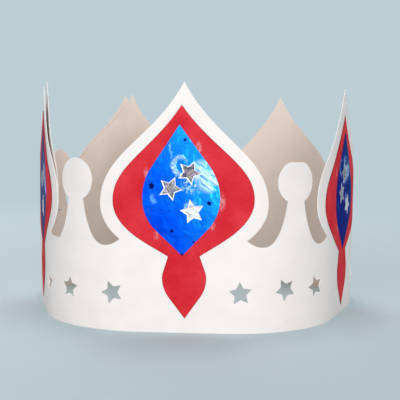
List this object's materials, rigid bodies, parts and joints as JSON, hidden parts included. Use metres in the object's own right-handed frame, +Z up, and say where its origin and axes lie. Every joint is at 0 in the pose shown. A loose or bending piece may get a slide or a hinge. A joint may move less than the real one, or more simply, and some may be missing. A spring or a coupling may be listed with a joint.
{
  "type": "paper crown",
  "caption": "Child's paper crown: a ring of white card with pointed peaks and ball finials, punched stars, red paper panels, blue foil leaves and silver star stickers.",
  "frame": {"origin": "on the table plane, under the middle of the crown's box", "axes": "+Z up, -Y out through the middle of peak 1 (the front peak), +X to the right seen from the front"},
  "size_m": [0.182, 0.1792, 0.1237],
  "materials": {
    "white_card": "smooth uncoated white card",
    "red_paper": "matt construction paper",
    "blue_foil": "glossy metallic foil paper",
    "silver_sticker": "silver foil sticker",
    "staple_wire": "bright wire"
  },
  "bodies": {
    "root": {"crown_band": "white_card", "closure_staple": "staple_wire", "red_panel_1": "red_paper", "foil_leaf_1": "blue_foil", "silver_star_1a": "silver_sticker", "silver_star_1b": "silver_sticker", "silver_star_1c": "silver_sticker", "red_panel_2": "red_paper", "foil_leaf_2": "blue_foil", "silver_star_2a": "silver_sticker", "silver_star_2b": "silver_sticker", "silver_star_2c": "silver_sticker", "red_panel_3": "red_paper", "foil_leaf_3": "blue_foil", "silver_star_3a": "silver_sticker", "silver_star_3b": "silver_sticker", "silver_star_3c": "silver_sticker", "red_panel_4": "red_paper", "foil_leaf_4": "blue_foil", "silver_star_4a": "silver_sticker", "silver_star_4b": "silver_sticker", "silver_star_4c": "silver_sticker", "red_panel_5": "red_paper", "foil_leaf_5": "blue_foil", "silver_star_5a": "silver_sticker", "silver_star_5b": "silver_sticker", "silver_star_5c": "silver_sticker"}
  },
  "joints": []
}
